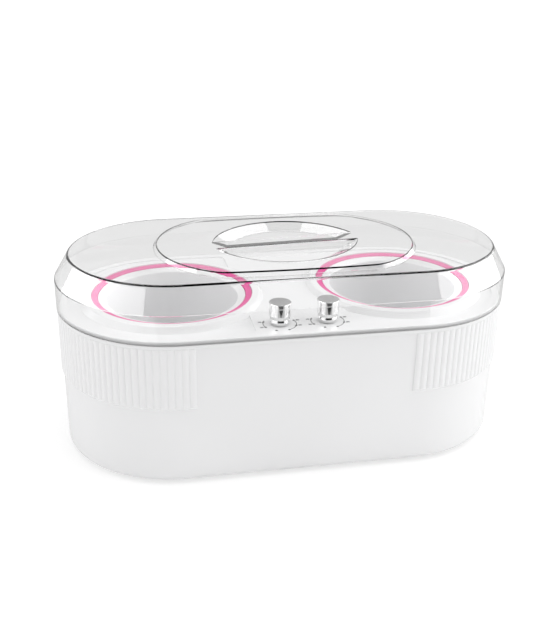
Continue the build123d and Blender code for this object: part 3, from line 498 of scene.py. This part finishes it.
# %% Ground
FLOOR_HALF = 6.0
GROUND_COLOR = (0.93, 0.93, 0.93)
GROUND_GLOW = 1.12          # as the camera sees it, far from the object
GLOW_SHARE = (0.6, 1.0)     # of that glow, near the object and far from it
GLOW_REACH = (0.25, 0.6)    # the distances of near and far
SWEEP = 0.79                # the pale ground and sweep, as gloss and the lid find them
DARK = 0.06                 # the studio overhead
FRONT_WHITE = 1.15          # the ground in front, lit by both panels
FRONT_SPAN = (-0.4, -0.1)   # y over which the front's white fades to the sweep's tone
floor_shape = bmesh.new()
bmesh.ops.create_grid(floor_shape, x_segments=1, y_segments=1, size=FLOOR_HALF)
floor = bpy.data.objects.new("floor", to_mesh("floor", floor_shape))
bpy.context.scene.collection.objects.link(floor)
print("floor side:", 2 * FLOOR_HALF)


# %% [markdown]
# A dark card on the ground in front gives the chrome knobs their black column. A mesh would show in the
# picture and cast a shadow, so the card is painted on the ground instead. Only rays that have been mirrored
# at least once find it, so the ground that is seen straight through the lid stays white.

# %% Dark card
CARD_X = -0.01
CARD_TIP_Y = -0.078         # the card is a wedge, and this its tip
CARD_SPREAD = 0.75          # half its width, per metre from the tip
CARD_Y = -0.377             # nearer the object than this it is only half as dark
CARD_BLUR = 0.012


def dark_card(finish, place):
    """1 on the dark card, half that on its end by the object, 0 elsewhere."""
    along = ramp(finish, place["Y"], 1.0, 0.5, CARD_Y - CARD_BLUR, CARD_Y)
    aside = arithmetic(finish, "ABSOLUTE", arithmetic(finish, "SUBTRACT", place["X"], CARD_X))
    ahead = arithmetic(finish, "SUBTRACT", place["Y"], CARD_TIP_Y)
    past_edge = arithmetic(finish, "ADD", aside, arithmetic(finish, "MULTIPLY", ahead, CARD_SPREAD))
    across = ramp(finish, past_edge, 1.0, 0.0, -CARD_BLUR, CARD_BLUR)
    return arithmetic(finish, "MULTIPLY", along, across)


print("card tip at y =", CARD_TIP_Y)


# %% [markdown]
# The ground has three faces. To light it is a matt white that takes the object's shadow. To the camera it
# glows the more the further it is from the object, so the shadow fades into pure white. To gloss and to the
# lid it is the sweep with the dark card on it. Light Path tells the rays apart, and the object's own light
# is left as it is.

# %% Paint the ground
def mirrored_rays(owner, path):
    """1 for rays that come from a gloss or through a clear face."""
    return arithmetic(owner, "MAXIMUM", path.outputs["Is Glossy Ray"], path.outputs["Is Transmission Ray"])


def paint_floor():
    """White ground that keeps a soft shadow near the object and is plain white further out."""
    finish, matte = new_finish("floor", GROUND_COLOR, 0.95)
    matte.inputs["Specular IOR Level"].default_value = 0.0
    path = add_node(finish, "ShaderNodeLightPath")
    place = split_place(finish)
    reach = add_node(finish, "ShaderNodeVectorMath", operation="LENGTH")
    join(finish, object_place(finish), reach.inputs[0])

    glow = add_node(finish, "ShaderNodeEmission", Strength=GROUND_GLOW)
    glow_share = ramp(finish, reach.outputs["Value"], *GLOW_SHARE, *GLOW_REACH)
    to_camera = arithmetic(finish, "MULTIPLY", path.outputs["Is Camera Ray"], glow_share)
    seen = add_node(finish, "ShaderNodeMixShader")
    join(finish, to_camera, seen.inputs["Fac"])
    join(finish, matte.outputs["BSDF"], seen.inputs[1])
    join(finish, glow.outputs["Emission"], seen.inputs[2])

    shine = add_node(finish, "ShaderNodeEmission")
    bare = ramp(finish, place["Y"], FRONT_WHITE, SWEEP, *FRONT_SPAN)
    mirrored_once = arithmetic(finish, "MINIMUM", path.outputs["Glossy Depth"], 1.0)
    card = arithmetic(finish, "MULTIPLY", dark_card(finish, place), mirrored_once)
    uncovered = arithmetic(finish, "SUBTRACT", 1.0, card)
    join(finish, arithmetic(finish, "MULTIPLY", bare, uncovered), shine.inputs["Strength"])

    surface = add_node(finish, "ShaderNodeMixShader")
    join(finish, mirrored_rays(finish, path), surface.inputs["Fac"])
    join(finish, seen.outputs["Shader"], surface.inputs[1])
    join(finish, shine.outputs["Emission"], surface.inputs[2])
    join(finish, surface.outputs["Shader"], finish.node_tree.nodes["Material Output"].inputs["Surface"])
    floor.data.materials.append(finish)
    print("ground glow:", GROUND_GLOW, "front white:", FRONT_WHITE)


paint_floor()


# %% [markdown]
# The world is the studio's air. The camera sees pure white, matt surfaces get an even soft fill, and gloss
# and the lid find the sweep, which rises behind the object and before it and gives way to the dark
# overhead. That dark is what makes the clear lid's shoulder and edges readable. A sky texture would have an
# outdoor gradient instead, so the world works it out from the ray's direction.

# %% World
SOFT_FILL = 0.42            # light from all round on matt surfaces
SWEEP_RISE = 0.5            # how much higher the sweep reaches behind and before than at the sides
SWEEP_FADE = (0.15, 0.45)   # the heights between which it fades to dark, on a sky of radius 1
world = bpy.data.worlds.new("studio")
bpy.context.scene.world = world
world.use_nodes = True
world.cycles.sampling_method = "NONE"
sky = world.node_tree.nodes["Background"]
sky.inputs["Color"].default_value = (1, 1, 1, 1)
direction = add_node(world, "ShaderNodeTexCoord")
split = add_node(world, "ShaderNodeSeparateXYZ")
join(world, direction.outputs["Generated"], split.inputs["Vector"])
lengthwise = arithmetic(world, "ABSOLUTE", split.outputs["Y"])
rise = arithmetic(world, "MULTIPLY", lengthwise, SWEEP_RISE)
over_rise = arithmetic(world, "SUBTRACT", split.outputs["Z"], rise)
backdrop = ramp(world, over_rise, SWEEP, DARK, *SWEEP_FADE)
way = add_node(world, "ShaderNodeLightPath")
reflected = mirrored_rays(world, way)
fill = arithmetic(world, "MULTIPLY", arithmetic(world, "SUBTRACT", 1.0, reflected), SOFT_FILL)
air = arithmetic(world, "ADD", fill, arithmetic(world, "MULTIPLY", reflected, backdrop))
join(world, arithmetic(world, "MAXIMUM", air, way.outputs["Is Camera Ray"]), sky.inputs["Strength"])
print("soft fill:", SOFT_FILL, "sweep:", SWEEP, "dark:", DARK)


# %% [markdown]
# ## Lamps and cards
# Each side panel is a lamp with a brighter card just in front of it that only perfectly polished faces see.
# The lamp sets how white the plastic is, the card how strong the long reflection on the lid's shoulder is.
# Two more cards overhead draw the white patches in the lid's finger wells. A blurred gloss would pick such
# small bright cards out of its many directions by luck alone, which shows as blotches, so for it the cards
# are clear.

# %% A lamp and a card
def aimed(place, target):
    """A placement that looks from a place to a target along its own -Z."""
    turn = (Vector(target) - Vector(place)).to_track_quat("-Z", "Y")
    return Matrix.Translation(place) @ turn.to_matrix().to_4x4()


def softbox(name, place, target, width, height, brightness):
    """A rectangular lamp that faces a target."""
    lamp = bpy.data.lights.new(name, "AREA")
    lamp.shape = "RECTANGLE"
    lamp.size = width
    lamp.size_y = height
    lamp.energy = brightness * math.pi * width * height
    box = bpy.data.objects.new(name, lamp)
    box.matrix_world = aimed(place, target)
    box.visible_camera = False
    bpy.context.scene.collection.objects.link(box)
    print("lamp:", name, "brightness", brightness)
    return box


def polished_only(name, brightness):
    """A glow for rays from perfectly polished faces, clear for all others."""
    glow = bpy.data.materials.new(name)
    glow.use_nodes = True
    choose = add_node(glow, "ShaderNodeMixShader")
    light = add_node(glow, "ShaderNodeEmission", Strength=brightness)
    open_way = add_node(glow, "ShaderNodeBsdfTransparent")
    join(glow, add_node(glow, "ShaderNodeLightPath").outputs["Is Singular Ray"], choose.inputs["Fac"])
    join(glow, open_way.outputs["BSDF"], choose.inputs[1])
    join(glow, light.outputs["Emission"], choose.inputs[2])
    join(glow, choose.outputs["Shader"], glow.node_tree.nodes["Material Output"].inputs["Surface"])
    glow.cycles.emission_sampling = "NONE"
    return glow


def white_card(name, place, target, width, height, brightness):
    """A glowing rectangle that only sharp reflections see."""
    shape = bmesh.new()
    spread = Matrix.Diagonal((width, height, 1.0, 1.0))
    bmesh.ops.create_grid(shape, x_segments=1, y_segments=1, size=0.5, matrix=aimed(place, target) @ spread)
    card = bpy.data.objects.new(name, to_mesh(name, shape))
    card.data.materials.append(polished_only(name, brightness))
    bpy.context.scene.collection.objects.link(card)
    card.visible_camera = False
    card.visible_diffuse = False
    card.visible_shadow = False
    print("card:", name, "brightness", brightness)


# %% [markdown]
# The two panels stand beside the object and reach forward past it. The right one is the stronger lamp,
# which gives the white housing its slow change of tone from left to right. Both cards are equal, because
# the lid shows the same white on both shoulders.

# %% Side panels
PANEL_OUT = 1.16            # from the object's middle, to either side
PANEL_FRONT = 0.30
PANEL_Z = 0.85
PANEL_L = 2.4
PANEL_H = 1.4
PANEL_LIGHT = {"left": 1.0, "right": 1.85}
PANEL_GLOW = 3.8            # as the lid's shoulder reflects it
CARD_LEAD = 0.01            # from the lamp to its card
for side, sign in (("left", -1), ("right", 1)):
    middle = Vector((sign * PANEL_OUT, -PANEL_FRONT, PANEL_Z))
    inwards = Vector((-sign, 0, 0))
    lead = middle + CARD_LEAD * inwards
    softbox("panel_" + side, middle, middle + inwards, PANEL_L, PANEL_H, PANEL_LIGHT[side])
    white_card("panel_card_" + side, lead, middle + inwards, PANEL_L, PANEL_H, PANEL_GLOW)


# %% [markdown]
# One more lamp, straight overhead, lights the deck and the pots. It would draw a square patch in the lid,
# so gloss and clear faces don't see it. The roof cards do the opposite: they light nothing and only draw
# the patches that belong there, with a gap between them where the well shows the dark studio.

# %% Overhead
ROOF_Z = 1.6
OVERHEAD_SIDE = 1.2
OVERHEAD_LIGHT = 2.4
overhead = softbox("overhead", (0, 0, ROOF_Z), (0, 0, 0), OVERHEAD_SIDE, OVERHEAD_SIDE, OVERHEAD_LIGHT)
overhead.visible_glossy = False
overhead.visible_transmission = False
ROOF_Y = 1.4
ROOF_D = 2.0
ROOF_SPANS = {"left": (-0.7, 0.06), "right": (0.42, 1.4)}   # low and high x of each roof card
ROOF_GLOW = 2.5
for side, (low_x, high_x) in ROOF_SPANS.items():
    middle = Vector(((low_x + high_x) / 2, ROOF_Y, ROOF_Z))
    white_card("roof_card_" + side, middle, middle - Vector((0, 0, 1)), high_x - low_x, ROOF_D, ROOF_GLOW)


# %% [markdown]
# ## Camera
# The camera stands where the photograph was taken from. Its place, turn, roll and focal length were fitted
# to the edges of the lid, the housing and the pot rings. They are given as a photographer would say them:
# how far round and how far up, how far away, what it aims at, and how long the lens is, here in pixels.

# %% Camera
AZIMUTH = math.radians(-12.25)
ELEVATION = math.radians(23.53)
ROLL = math.radians(1.21)
DISTANCE = 0.78567
AIM_RIGHT = -0.00474
AIM_UP = 0.09337
FOCAL_PIXELS = 932.35
FRAME_HEIGHT = 642          # pixels, the longer side of the frame
SENSOR = 36.0

back = Vector((
    math.sin(AZIMUTH) * math.cos(ELEVATION),
    -math.cos(AZIMUTH) * math.cos(ELEVATION),
    math.sin(ELEVATION),
))
level_right = Vector((math.cos(AZIMUTH), math.sin(AZIMUTH), 0.0))
level_up = back.cross(level_right)
right = math.cos(ROLL) * level_right + math.sin(ROLL) * level_up
up = math.cos(ROLL) * level_up - math.sin(ROLL) * level_right
aim = AIM_RIGHT * level_right + Vector((0, 0, AIM_UP))
lens = bpy.data.cameras.new("camera")
lens.sensor_width = SENSOR
lens.lens = FOCAL_PIXELS * SENSOR / FRAME_HEIGHT
camera = bpy.data.objects.new("camera", lens)
facing = Matrix((right, up, back)).transposed().to_4x4()
camera.matrix_world = Matrix.Translation(aim + DISTANCE * back) @ facing
bpy.context.scene.collection.objects.link(camera)
bpy.context.scene.camera = camera
bpy.context.scene.view_settings.view_transform = "Standard"
print("lens in mm:", round(lens.lens, 2))


# %% [markdown]
# ## Light paths
# The lid is four faces deep from the camera's side, so a path needs room to pass it twice and still bounce
# on what is under it. A clamp on bounced light takes out the few brightest sparks that the cards leave in
# the lid's edges, and is set high enough to leave the rest alone.

# %% Light paths
BOUNCES = 16
SPARK_CLAMP = 40.0
tracer = bpy.context.scene.cycles
tracer.max_bounces = BOUNCES
tracer.transmission_bounces = BOUNCES
tracer.transparent_max_bounces = BOUNCES
tracer.sample_clamp_indirect = SPARK_CLAMP
print("bounces:", BOUNCES)
